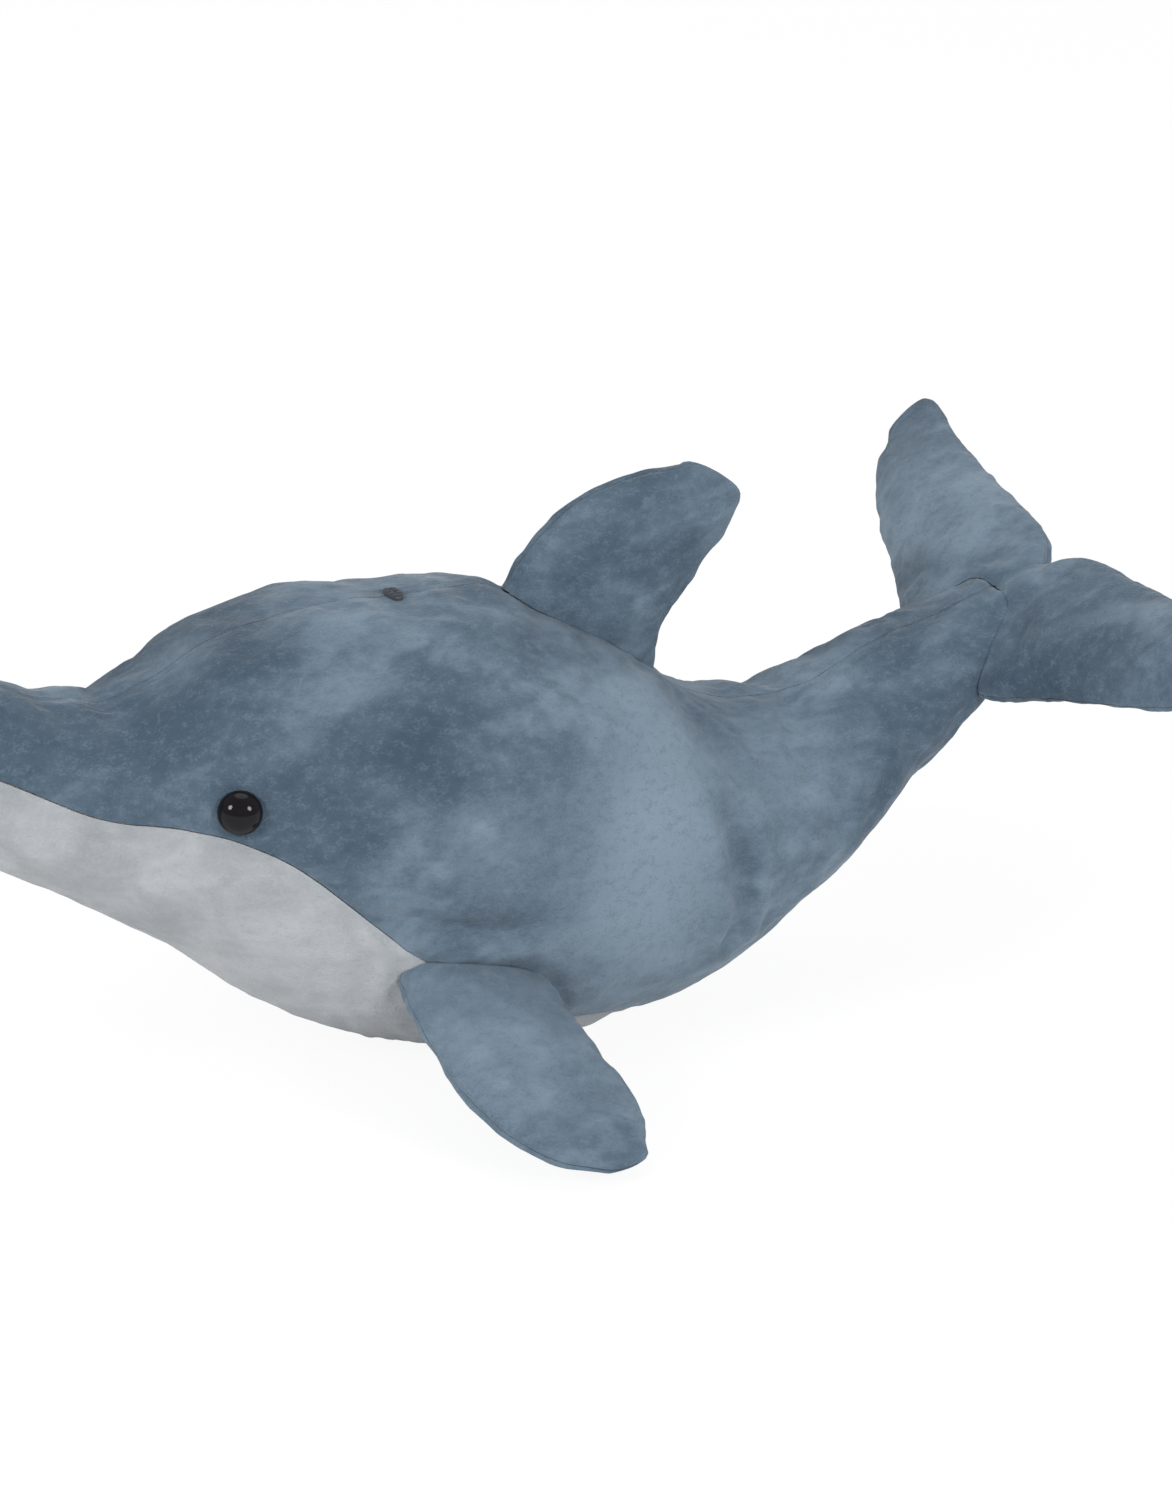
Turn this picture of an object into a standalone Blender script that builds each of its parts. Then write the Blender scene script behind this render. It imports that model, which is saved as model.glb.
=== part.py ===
# Plush dolphin, stuffed and sewn, lying on the flat patch under its belly.
# The snout points toward -X and the tail toward +X, with +Z up and the origin in the middle of the patch.
# Every size below is in millimetres or degrees, and a mesh is turned into metres as it is made.

import math

import bmesh
import bpy
from mathutils import Matrix, Vector

MM = 0.001  # metres in one millimetre
SAME_POINT = 0.00001  # metres

BODY_LENGTH = 326  # beak to stock, without their rounded ends
BODY_HEIGHT = 129  # ground to the top of the neck
BODY_WIDTH = 108
FIN_HEIGHT = 56
FLIPPER_LENGTH = 69
FLUKE_SPAN = 206

# Shape of the body from the beak to the tail, in hundredths of its sizes: length and height
# at which the back lies, length and height at which the belly lies, and half width. The last
# number is the angle from the back down to the seam between the side and belly panels.
# What lies under the ground is pressed flat.
SECTIONS = {
    "beak": (0.6, 91.3, 0, 63.6, 13.9, 66),
    "beak_middle": (7.1, 92, 6.4, 53.5, 19.4, 76),
    "beak_root": (14.1, 85.6, 14.4, 41.9, 25, 79),
    "brow": (19.9, 86, 21.8, 30.6, 34.3, 75),
    "cheek": (27.3, 95.6, 29.4, 16.6, 42.6, 86),
    "neck": (38.3, 99.6, 39.3, 3.6, 48.1, 113),
    "chest": (50.3, 97.8, 49.4, -3.1, 50, 131),
    "flank": (61.3, 85.3, 58, -3.1, 47.2, 140),
    "waist": (71.5, 66.7, 69.3, 4.7, 39.8, 147),
    "rear": (81.6, 64.8, 80.4, 20.9, 30.6, 158),
    "stock": (91.1, 74.6, 90.2, 41.9, 22.2, 175),
    "stock_end": (98.5, 81.6, 100, 62, 15.7, 180),
}
PATCH_MIDDLE = 53.7  # hundredths of the length from the beak, where the origin lies
BELLY_END = "stock"  # the belly panel runs out here and the side panels meet below
BODY_ROUNDNESS = 2.25  # power of the section's outline, 2 for an ellipse
NOSE_LENGTH = 11  # rounded end of the beak
TAIL_END_LENGTH = 8  # rounded end inside the flukes

PLUSH_THICKNESS = 2.5  # backing and pile
SEAM_GAP = 0.4
CLEARANCE = 0.3

# Places on the body count sections from the beak, and angles start at the back.
EYE_PLACE = 3.6
EYE_ANGLE = 68
EYE_DIAMETER = 12
EYE_HEIGHT = 4.6
EYE_SEAT_DEPTH = 1.2
EYE_STEM_DIAMETER = 3.6
EYE_STEM_LENGTH = 13
WASHER_DIAMETER = 14
WASHER_THICKNESS = 1.5
POCKET_CLEARANCE = 0.5  # around the washer and the stem, in the filling

BLOWHOLE_PLACE = 5.4
BLOWHOLE_WIDTH = 9
BLOWHOLE_LENGTH = 4.5
BLOWHOLE_HEIGHT = 1.2

# Outlines of the fin, a flipper and one lobe of the flukes: distance out from the root in
# hundredths of the whole, leading edge and trailing edge along the chord, and thickness.
FIN_FRONT_PLACE = 6.22
FIN_REAR_PLACE = 7.64
FIN_OUTLINE = (
    (-18, 30, -28, 17),
    (0, 29, -26, 18),
    (21.4, 29, -21, 18),
    (53.6, 24, -22.5, 16),
    (78.6, 13, -23.5, 13),
    (92.9, 2, -22, 9),
    (100, -6, -17, 4),
)

FLIPPER_PLACE = 5.5
FLIPPER_ANGLE = 122
FLIPPER_SWEEP = 20  # back from straight out
FLIPPER_DROOP = 25  # down from level
FLIPPER_OUTLINE = (
    (-28, 14.5, -22.5, 15),
    (0, 22.5, -22, 16),
    (20, 26.5, -21, 16),
    (42.9, 28.5, -19, 15),
    (68.6, 26.5, -17.5, 12),
    (85.7, 20, -14, 9),
    (95.7, 11, -8, 5),
    (100, 3, -4, 3),
)

FLUKE_PITCH = 40  # rear edge up from level
FLUKE_OUTLINE = (
    (0, 18, -23.5, 17),
    (8.7, 19, -31, 17),
    (21.4, 16.5, -35, 16),
    (46.6, 4, -38, 14),
    (69.9, -6, -40.5, 12),
    (87.4, -16.5, -44, 9),
    (96.1, -26, -45, 6),
    (100, -32, -41, 4),
)

FLAT_FACES = ((1, "upper_face"), (-1, "lower_face"))

SIDE_STEPS = 8
BELLY_STEPS = 6
BLADE_STEPS = 6
TURN_STEPS = 16
DOME_STEPS = 5
END_STEPS = 4
END_STOP = 0.94  # share of the quarter turn at which a rounded end stops, short of its tip
SHORT_STEP = 0.02  # along the places, to measure a slope
SHARP_ANGLE = 40
THINNEST = 0.3  # least inner size where two skins run together
THINNEST_FILLING = 1

BLUE_PLUSH = ((0.13, 0.20, 0.27), 0.95)
WHITE_PLUSH = ((0.58, 0.57, 0.55), 0.95)
WHITE_FIBRE = ((0.85, 0.85, 0.83), 0.9)
BLACK_PLASTIC = ((0.008, 0.008, 0.01), 0.12)
GREY_PLASTIC = ((0.5, 0.5, 0.5), 0.4)
DARK_THREAD = ((0.05, 0.07, 0.1), 0.8)


def clear_scene():
    for thing in list(bpy.data.objects):
        bpy.data.objects.remove(thing, do_unlink=True)


def new_collection(name):
    collection = bpy.data.collections.new(name)
    bpy.context.scene.collection.children.link(collection)
    return collection


def between(rows, place):
    # smooth curve through rows of numbers, one row to each whole place
    last = len(rows) - 1
    place = min(max(place, 0), last)
    i = min(int(place), last - 1)
    t = place - i
    near = [rows[max(i - 1, 0)], rows[i], rows[i + 1], rows[min(i + 2, last)]]
    return [
        0.5 * (2 * b + (c - a) * t + (2 * a - 5 * b + 4 * c - d) * t**2 + (3 * b - a - 3 * c + d) * t**3)
        for a, b, c, d in zip(*near)
    ]


SECTION_ROWS = list(SECTIONS.values())
LAST_PLACE = len(SECTION_ROWS) - 1
BELLY_END_PLACE = list(SECTIONS).index(BELLY_END)


def middle_point(along, height):
    # point of the middle plane from its shares of the body's length and height
    return Vector(((along - PATCH_MIDDLE) * BODY_LENGTH, 0, height * BODY_HEIGHT)) / 100


def section(place):
    # centre, direction of the back, half height and half width of the body at a place
    back_along, back_height, belly_along, belly_height, half_width, seam = between(SECTION_ROWS, place)
    back = middle_point(back_along, back_height)
    belly = middle_point(belly_along, belly_height)
    up = back - belly
    return (back + belly) / 2, up.normalized(), up.length / 2, half_width * BODY_WIDTH / 100


def seam_angle(place):
    if place > BELLY_END_PLACE:
        return 180
    return between(SECTION_ROWS, place)[-1]


def end_of_body(place):
    # section at the nearer end, way out along the body's axis, length of the rounded end,
    # and how far round it the place lies, in radians from the tip
    if place < 0:
        first, second, length, beyond = 0, 0.5, NOSE_LENGTH, -place
    else:
        first, second, length, beyond = LAST_PLACE, LAST_PLACE - 0.5, TAIL_END_LENGTH, place - LAST_PLACE
    outward = (section(first)[0] - section(second)[0]).normalized()
    return section(first), outward, length, math.radians(90 * (1 - beyond))


def section_radius(angle, half_height, half_width):
    down = abs(math.cos(angle)) / half_height
    across = abs(math.sin(angle)) / half_width
    return (down**BODY_ROUNDNESS + across**BODY_ROUNDNESS) ** (-1 / BODY_ROUNDNESS)


def body_ring(place, inset):
    # centre, direction of the back and half sizes of a surface that lies inset from the outside
    if 0 <= place <= LAST_PLACE:
        centre, up, half_height, half_width = section(place)
        return centre, up, half_height - inset, half_width - inset
    (centre, up, half_height, half_width), outward, length, turn = end_of_body(place)
    centre = centre + outward * (length - inset) * math.cos(turn)
    shrink = math.sin(turn)
    return centre, up, (half_height - inset) * shrink, (half_width - inset) * shrink


def body_point(place, angle, inset=0):
    centre, up, half_height, half_width = body_ring(place, inset)
    angle = math.radians(angle)
    radius = section_radius(angle, half_height, half_width)
    point = centre + up * radius * math.cos(angle) + Vector((0, -1, 0)) * radius * math.sin(angle)
    point.z = max(point.z, inset)
    return point


def body_normal(place, angle):
    along = body_point(place + SHORT_STEP, angle) - body_point(place - SHORT_STEP, angle)
    around = body_point(place, angle + 1) - body_point(place, angle - 1)
    return around.cross(along).normalized()


def body_places():
    # places of the rings, rounded ends included
    ends = [i / END_STEPS for i in range(1, END_STEPS)] + [END_STOP]
    places = [-end for end in reversed(ends)]
    places += [i / 2 for i in range(2 * LAST_PLACE + 1)]
    places += [LAST_PLACE + end for end in ends]
    return places


def spread(place, start, end, steps, inset, gap):
    # angles from start to end, with half a gap left free at both
    free = []
    for angle in (start, end):
        centre, up, half_height, half_width = body_ring(place, inset)
        radius = section_radius(math.radians(angle), half_height, half_width)
        free.append(math.degrees(gap / 2 / radius))
    first = start + free[0]
    last = end - free[1]
    return [first + (last - first) * i / steps for i in range(steps + 1)]


def make_object(name, mesh, collection, look=None):
    thing = bpy.data.objects.new(name, mesh)
    collection.objects.link(thing)
    if look:
        colour, roughness = look
        material = bpy.data.materials.new(name)
        material.use_nodes = True
        shader = material.node_tree.nodes["Principled BSDF"]
        shader.inputs["Base Color"].default_value = (*colour, 1)
        shader.inputs["Roughness"].default_value = roughness
        shader.inputs["Metallic"].default_value = 0
        mesh.materials.append(material)
    return thing


def finish_mesh(name, bm):
    bmesh.ops.recalc_face_normals(bm, faces=bm.faces)
    mesh = bpy.data.meshes.new(name)
    bm.to_mesh(mesh)
    bm.free()
    mesh.shade_smooth()
    mesh.set_sharp_from_angle(angle=math.radians(SHARP_ANGLE))
    return mesh


def add_strip(bm, line, following):
    # triangles between two lines of points, always split the same way, so that surfaces nest
    for a, b, c, d in zip(line, line[1:], following[1:], following):
        bm.faces.new((a, b, c))
        bm.faces.new((a, c, d))


def shell_mesh(name, rings):
    # closed shell through rings, each an outer line of points and an inner line of as many
    bm = bmesh.new()
    outer, inner = [[[bm.verts.new(point * MM) for point in line] for line in lines] for lines in zip(*rings)]
    for lines in (outer, inner):
        for line, following in zip(lines, lines[1:]):
            add_strip(bm, line, following)
    for end in (0, -1):
        add_strip(bm, outer[end], inner[end])
        add_strip(bm, [line[end] for line in outer], [line[end] for line in inner])
    return finish_mesh(name, bm)


def solid_mesh(name, rings):
    # closed solid through rings of points, with a point in the middle of each end
    bm = bmesh.new()
    rows = [[bm.verts.new(point * MM) for point in ring] for ring in rings]
    rows = [row + row[:1] for row in rows]
    for row, following in zip(rows, rows[1:]):
        add_strip(bm, row, following)
    for row in (rows[0], rows[-1]):
        middle = bm.verts.new(sum((vert.co for vert in row[1:]), Vector()) / (len(row) - 1))
        for a, b in zip(row, row[1:]):
            bm.faces.new((a, b, middle))
    bmesh.ops.remove_doubles(bm, verts=bm.verts, dist=SAME_POINT)
    return finish_mesh(name, bm)


def panel_mesh(name, places, start, end, steps):
    rings = []
    for place in places:
        lines = []
        for inset in (0, PLUSH_THICKNESS):
            angles = spread(place, start(place), end(place), steps, inset, SEAM_GAP)
            lines.append([body_point(place, angle, inset) for angle in angles])
        rings.append(lines)
    return shell_mesh(name, rings)


def full_ring(place, inset):
    # the whole section, with its points where the panels have theirs and one point below
    # where the side panels meet
    seam = seam_angle(place)
    angles = spread(place, -seam, 0, SIDE_STEPS, inset, 0)[:-1]
    angles += spread(place, 0, seam, SIDE_STEPS, inset, 0)[:-1]
    angles += spread(place, seam, 360 - seam, BELLY_STEPS, inset, 0)[:-1]
    return [body_point(place, angle, inset) for angle in angles]


def body_solid_mesh(name, inset):
    return solid_mesh(name, [full_ring(place, inset) for place in body_places()])


def turned_mesh_object(name, profile, collection, look=None):
    # profile of radius and height, from the top down its outer side, turned about Z
    mesh = bpy.data.meshes.new(name)
    points = [Vector((radius, 0, height)) * MM for radius, height in profile]
    mesh.from_pydata(points, [(i, i + 1) for i in range(len(points) - 1)], [])
    thing = make_object(name, mesh, collection, look)
    screw = thing.modifiers.new("turn", "SCREW")
    screw.steps = TURN_STEPS
    screw.render_steps = TURN_STEPS
    screw.use_merge_vertices = True
    screw.merge_threshold = SAME_POINT
    screw.use_smooth_shade = True
    return thing


def cut(thing, cutter):
    boolean = thing.modifiers.new("cut " + cutter.name, "BOOLEAN")
    boolean.operation = "DIFFERENCE"
    boolean.solver = "EXACT"
    boolean.object = cutter


def make_cutter(thing):
    thing.hide_render = True
    thing.display_type = "WIRE"
    return thing


def place_on_body(thing, place, angle):
    # origin on the surface and +Z straight out of it
    normal = body_normal(place, angle)
    turn = normal.to_track_quat("Z", "Y").to_matrix().to_4x4()
    thing.matrix_world = Matrix.Translation(body_point(place, angle) * MM) @ turn


def make_body(parts):
    places = body_places()
    under = [place for place in places if place <= BELLY_END_PLACE]

    def back(place):
        return 0

    def right_seam(place):
        return -seam_angle(place)

    def far_seam(place):
        return 360 - seam_angle(place)

    left = panel_mesh("left_side_panel", places, back, seam_angle, SIDE_STEPS)
    right = panel_mesh("right_side_panel", places, right_seam, back, SIDE_STEPS)
    belly = panel_mesh("belly_panel", under, seam_angle, far_seam, BELLY_STEPS)
    filling = body_solid_mesh("body_filling", PLUSH_THICKNESS + CLEARANCE)
    return {
        "left": make_object("left_side_panel", left, parts, BLUE_PLUSH),
        "right": make_object("right_side_panel", right, parts, BLUE_PLUSH),
        "belly": make_object("belly_panel", belly, parts, WHITE_PLUSH),
        "filling": make_object("body_filling", filling, parts, WHITE_FIBRE),
    }


def make_eye(side, angle, body, parts, cutters):
    # a safety eye: dome, stem and washer, all turned about the line straight out of the cheek
    radius = EYE_DIAMETER / 2
    stem = EYE_STEM_DIAMETER / 2
    flange = CLEARANCE - EYE_SEAT_DEPTH
    stem_end = flange - EYE_STEM_LENGTH
    turns = [math.radians(90 * i / DOME_STEPS) for i in range(DOME_STEPS + 1)]
    dome = [(radius * math.sin(turn), flange + EYE_HEIGHT * math.cos(turn)) for turn in turns]
    profile = dome + [(stem, flange), (stem, stem_end), (0, stem_end)]
    eye = turned_mesh_object(side + "_eye", profile, parts, BLACK_PLASTIC)

    # the skin in front of the washer bulges inward by about the sagitta of its disc
    half_width = section(EYE_PLACE)[3]
    hole = stem + CLEARANCE
    outer = WASHER_DIAMETER / 2
    top = -(PLUSH_THICKNESS + CLEARANCE + outer**2 / half_width)
    bottom = top - WASHER_THICKNESS
    profile = [(hole, top), (outer, top), (outer, bottom), (hole, bottom), (hole, top)]
    washer = turned_mesh_object(side + "_eye_washer", profile, parts, GREY_PLASTIC)

    above = EYE_HEIGHT
    seat = radius + CLEARANCE
    floor = -EYE_SEAT_DEPTH
    through = -2 * PLUSH_THICKNESS
    profile = [(0, above), (seat, above), (seat, floor), (hole, floor), (hole, through), (0, through)]
    seat_cutter = make_cutter(turned_mesh_object(side + "_eye_seat_cutter", profile, cutters))

    pocket = outer + POCKET_CLEARANCE
    floor = bottom - POCKET_CLEARANCE
    shaft = stem + POCKET_CLEARANCE
    end = stem_end - POCKET_CLEARANCE
    profile = [(0, above), (pocket, above), (pocket, floor), (shaft, floor), (shaft, end), (0, end)]
    pocket_cutter = make_cutter(turned_mesh_object(side + "_eye_pocket_cutter", profile, cutters))

    for thing in (eye, washer, seat_cutter, pocket_cutter):
        place_on_body(thing, EYE_PLACE, angle)
    cut(body[side], seat_cutter)
    cut(body["belly"], seat_cutter)
    cut(body["filling"], pocket_cutter)


def make_blowhole(form, parts):
    bm = bmesh.new()
    bmesh.ops.create_uvsphere(bm, u_segments=12, v_segments=6, radius=0.5)
    size = Matrix.Diagonal((BLOWHOLE_LENGTH * MM, BLOWHOLE_WIDTH * MM, 2 * BLOWHOLE_HEIGHT * MM, 1))
    bmesh.ops.transform(bm, matrix=size, verts=bm.verts)
    thing = make_object("blowhole", finish_mesh("blowhole", bm), parts, DARK_THREAD)
    back = body_point(BLOWHOLE_PLACE, 0)
    slope = body_point(BLOWHOLE_PLACE - SHORT_STEP, 0) - body_point(BLOWHOLE_PLACE + SHORT_STEP, 0)
    pitch = math.atan2(slope.z, -slope.x)
    thing.matrix_world = Matrix.Translation(back * MM) @ Matrix.Rotation(pitch, 4, "Y")
    cut(thing, form)


def blade_rows(outline, length):
    # outline rows with one more between each two, the distance out in millimetres
    rows = [between(outline, i / 2) for i in range(2 * len(outline) - 1)]
    return [(share * length / 100, lead, trail, thickness) for share, lead, trail, thickness in rows]


def blade_line(frame, row, face, inset, lift):
    # half of a lens section, from its leading to its trailing edge
    origin, out, chord, normal = frame
    span, lead, trail, thickness = row
    middle = (lead + trail) / 2
    half_chord = max((lead - trail) / 2 - inset, THINNEST)
    half_thickness = max(thickness / 2 - inset, THINNEST)
    line = []
    for i in range(BLADE_STEPS + 1):
        turn = math.pi * i / BLADE_STEPS
        along = middle + half_chord * math.cos(turn)
        rise = face * (lift + half_thickness * math.sin(turn))
        line.append(origin + out * span + chord * along + normal * rise)
    return line


def make_blade(name, faces, frame, rows, form, parts):
    for face, face_name in faces:
        rings = []
        for row in rows:
            lift = SEAM_GAP / 2
            outer = blade_line(frame, row, face, 0, lift)
            inner = blade_line(frame, row, face, PLUSH_THICKNESS, lift)
            rings.append((outer, inner))
        label = name + "_" + face_name
        cut(make_object(label, shell_mesh(label, rings), parts, BLUE_PLUSH), form)

    inset = PLUSH_THICKNESS + CLEARANCE
    rings = []
    for row in rows:
        span, lead, trail, thickness = row
        if min(lead - trail, thickness) / 2 - inset > THINNEST_FILLING:
            above = blade_line(frame, row, 1, inset, 0)
            below = blade_line(frame, row, -1, inset, 0)
            rings.append(above + below[-2:0:-1])
    label = name + "_filling"
    cut(make_object(label, solid_mesh(label, rings), parts, WHITE_FIBRE), form)


def make_fin(form, parts):
    front = body_point(FIN_FRONT_PLACE, 0)
    rear = body_point(FIN_REAR_PLACE, 0)
    chord = (front - rear).normalized()
    left = Vector((0, -1, 0))
    out = chord.cross(left)
    frame = ((front + rear) / 2, out, chord, left)
    faces = ((1, "left_face"), (-1, "right_face"))
    make_blade("dorsal_fin", faces, frame, blade_rows(FIN_OUTLINE, FIN_HEIGHT), form, parts)


def make_flipper(name, side, form, parts):
    # side is -1 for the left flipper and 1 for the right
    root = body_point(FLIPPER_PLACE, FLIPPER_ANGLE)
    sweep = math.radians(FLIPPER_SWEEP)
    droop = math.radians(FLIPPER_DROOP)
    level = math.cos(droop)
    out = Vector((level * math.sin(sweep), -level * math.cos(sweep), -math.sin(droop)))
    normal = (Vector((0, 0, 1)) - out * out.z).normalized()
    chord = out.cross(normal)
    flip = Vector((1, -side, 1))
    frame = tuple(Vector(a * b for a, b in zip(vector, flip)) for vector in (root, out, chord, normal))
    rows = blade_rows(FLIPPER_OUTLINE, FLIPPER_LENGTH)
    make_blade(name, FLAT_FACES, frame, rows, form, parts)


def make_flukes(form, parts):
    pitch = math.radians(FLUKE_PITCH)
    chord = Vector((-math.cos(pitch), 0, -math.sin(pitch)))
    normal = Vector((-math.sin(pitch), 0, math.cos(pitch)))
    frame = (section(LAST_PLACE)[0], Vector((0, -1, 0)), chord, normal)
    lobe = blade_rows(FLUKE_OUTLINE, FLUKE_SPAN / 2)
    other_lobe = [(-span, lead, trail, thickness) for span, lead, trail, thickness in reversed(lobe[1:])]
    make_blade("tail_flukes", FLAT_FACES, frame, other_lobe + lobe, form, parts)


def main():
    clear_scene()
    parts = new_collection("plush_dolphin")
    cutters = new_collection("cutters")
    body = make_body(parts)
    form = make_cutter(make_object("body_form", body_solid_mesh("body_form", -CLEARANCE), cutters))
    make_eye("left", EYE_ANGLE, body, parts, cutters)
    make_eye("right", -EYE_ANGLE, body, parts, cutters)
    make_blowhole(form, parts)
    make_fin(form, parts)
    make_flipper("left_flipper", -1, form, parts)
    make_flipper("right_flipper", 1, form, parts)
    make_flukes(form, parts)


main()
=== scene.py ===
import math
import bpy
import numpy as np
from mathutils import Matrix, Vector
from mathutils.bvhtree import BVHTree


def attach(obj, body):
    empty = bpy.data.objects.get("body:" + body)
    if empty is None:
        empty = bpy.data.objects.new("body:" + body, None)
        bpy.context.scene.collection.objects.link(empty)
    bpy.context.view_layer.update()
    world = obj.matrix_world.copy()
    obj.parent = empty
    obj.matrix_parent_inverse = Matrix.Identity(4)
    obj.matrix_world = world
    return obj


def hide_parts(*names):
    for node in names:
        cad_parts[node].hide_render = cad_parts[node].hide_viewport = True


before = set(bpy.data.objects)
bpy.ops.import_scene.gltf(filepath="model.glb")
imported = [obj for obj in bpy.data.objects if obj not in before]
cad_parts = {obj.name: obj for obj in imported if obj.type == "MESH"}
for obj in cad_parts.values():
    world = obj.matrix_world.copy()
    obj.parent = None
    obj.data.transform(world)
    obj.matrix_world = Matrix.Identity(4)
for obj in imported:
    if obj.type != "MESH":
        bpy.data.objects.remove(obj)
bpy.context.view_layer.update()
print("frame loaded:", len(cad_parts), "nodes")

# Shapes are worked out in millimetres, and meshes are made in metres.

body = {
    "length": 326, "height": 129, "width": 108,
    # back along and up, belly along and up, half width, in hundredths, and the seam's angle
    "sections": (
        (0.6, 91.3, 0, 63.6, 13.9, 66),  # beak
        (7.1, 92, 6.4, 53.5, 19.4, 76),
        (14.1, 85.6, 14.4, 41.9, 25, 79),
        (19.9, 86, 21.8, 30.6, 34.3, 75),  # brow
        (27.3, 95.6, 29.4, 16.6, 42.6, 86),
        (38.3, 99.6, 39.3, 3.6, 48.1, 113),  # neck
        (50.3, 97.8, 49.4, -3.1, 50, 131),
        (61.3, 85.3, 58, -3.1, 47.2, 140),
        (71.5, 66.7, 69.3, 4.7, 39.8, 147),  # waist
        (81.6, 64.8, 80.4, 20.9, 30.6, 158),
        (91.1, 74.6, 90.2, 41.9, 22.2, 175),  # stock, where the belly panel runs out
        (98.5, 81.6, 100, 62, 15.7, 180),
    ),
    "patchMiddle": 53.7, "bellyEnd": 10, "roundness": 2.25,
    "noseLength": 11, "tailLength": 8,
    "endReach": 0.985, "tailReach": 0.98,  # how far the rounded ends are followed, in places
    "skin": 2.5, "seamGap": 0.4, "fill": 0.9,
    "step": 1.1, "innerStep": 4, "innerColumns": 28,  # of the fine outer and the coarse inner mesh
}
lastPlace = len(body["sections"]) - 1
leftward = np.array([0.0, -1.0, 0.0])


def between(rows, places):
    # smooth curve through rows of numbers, one row to each whole place
    rows = np.asarray(rows, float)
    last = len(rows) - 1
    places = np.clip(places, 0, last)
    i = np.minimum(places.astype(int), last - 1)
    t = (places - i)[..., None]
    a, b = rows[np.maximum(i - 1, 0)], rows[i]
    c, d = rows[i + 1], rows[np.minimum(i + 2, last)]
    return 0.5 * (2 * b + (c - a) * t + (2 * a - 5 * b + 4 * c - d) * t**2 + (3 * b - a - 3 * c + d) * t**3)


def unit(vectors):
    return vectors / np.maximum(np.linalg.norm(vectors, axis=-1, keepdims=True), 1e-9)


def bell(away, width):
    return np.exp(-((away / width) ** 2))


def addObject(name, data):
    made = bpy.data.objects.new(name, data)
    bpy.context.scene.collection.objects.link(made)
    return made


def middlePoint(along, up):
    x = (along - body["patchMiddle"]) * body["length"] / 100
    return np.stack([x, 0 * x, up * body["height"] / 100], -1)


def sectionAt(places):
    # centre, direction of the back, half height and half width
    row = between(body["sections"], places)
    back = middlePoint(row[..., 0], row[..., 1])
    belly = middlePoint(row[..., 2], row[..., 3])
    up = back - belly
    return (back + belly) / 2, unit(up), np.linalg.norm(up, axis=-1) / 2, row[..., 4] * body["width"] / 100


def seamAngle(places):
    angle = between(body["sections"], places)[..., 5]
    return np.where(places > body["bellyEnd"], 180.0, angle)


def endwards(first, second):
    ends = sectionAt(np.array([first, second], float))[0]
    return unit(ends[0] - ends[1])


noseWay = endwards(0, 0.5)
tailWay = endwards(lastPlace, lastPlace - 0.5)


def bodyRing(places, inset):
    # centre, direction of the back and half sizes, rounded ends included
    inside = np.clip(places, 0, lastPlace)
    centre, up, high, wide = sectionAt(inside)
    turn = (1 - np.minimum(np.abs(places - inside), 1)) * math.pi / 2
    nose = (places < 0)[..., None]
    length = np.where(places < 0, body["noseLength"], body["tailLength"])
    out = ((length - inset) * np.cos(turn))[..., None] * np.where(nose, noseWay, tailWay)
    return centre + out, up, (high - inset) * np.sin(turn), (wide - inset) * np.sin(turn)


def radiusAt(angles, high, wide):
    power = body["roundness"]
    turn = np.radians(angles)
    down = np.abs(np.cos(turn)) / np.maximum(high, 1e-6)
    across = np.abs(np.sin(turn)) / np.maximum(wide, 1e-6)
    return (down**power + across**power) ** (-1 / power)


def bodyForm(places, angles, inset=0):
    # the stuffed form before it rests on anything
    centre, up, high, wide = bodyRing(places, inset)
    radius = radiusAt(angles, high, wide)
    turn = np.radians(angles)
    return centre + up * (radius * np.cos(turn))[..., None] + leftward * (radius * np.sin(turn))[..., None]


def bodyPoint(place, angle):
    return bodyForm(np.array(float(place)), np.array(float(angle)))


def bodyNormal(places, angles):
    # square to the two ways along the skin
    step = 0.01
    places = np.clip(places, -body["endReach"], lastPlace + body["endReach"])
    along = bodyForm(places + step, angles) - bodyForm(places - step, angles)
    around = bodyForm(places, angles + 0.5) - bodyForm(places, angles - 0.5)
    return unit(np.cross(around, along))


def makeNoise(seed, size=48):
    # soft random lumps one unit apart, between -1 and 1
    values = np.random.default_rng(seed).random((size, size, size)) * 2 - 1

    def sample(points):
        low = np.floor(points).astype(int)
        t = points - low
        t = t * t * (3 - 2 * t)
        total = 0
        for corner in range(8):
            bits = np.array([(corner >> k) & 1 for k in range(3)])
            weight = np.prod(np.where(bits, t, 1 - t), axis=-1)
            at = (low + bits) % size
            total = total + weight * values[at[..., 0], at[..., 1], at[..., 2]]
        return total
    return sample


lumpNoise, clumpNoise, napNoise, puckerNoise = (makeNoise(seed) for seed in (3, 8, 21, 34))

stuffing = {
    "lump": 0.7, "lumpSize": 26,  # uneven filling
    "seamDepth": 1.1, "seamWidth": 2.8, "backShare": 0.55,  # the seam along the back shows less
    "pucker": 0.25, "puckerSize": 6, "puckerLength": 40, "puckerReach": 9,
    "slimBelow": 12,  # half width under which seams grow fainter
    "rootDepth": 0.25, "rootWidth": 5, "rootReach": 9,
    "deepest": 1.9, "floorSoft": 0.8,
}
swelling = {
    "cell": 4.5, "smaller": 1.0, "softEdge": 9,  # of a cover before it is blown up
    "pressure": 5, "looser": 0.012, "frames": 20, "quality": 6,
    "mass": 0.1, "stretch": 15, "shear": 5, "bend": 0.5,
    "inward": 1.1, "outward": 1.6,  # most that the result is let off its form
    "floorHeld": 0.6, "eyeHeld": 2, "rootHeld": 2.5,  # the cover is held nearer than this
}
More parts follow.
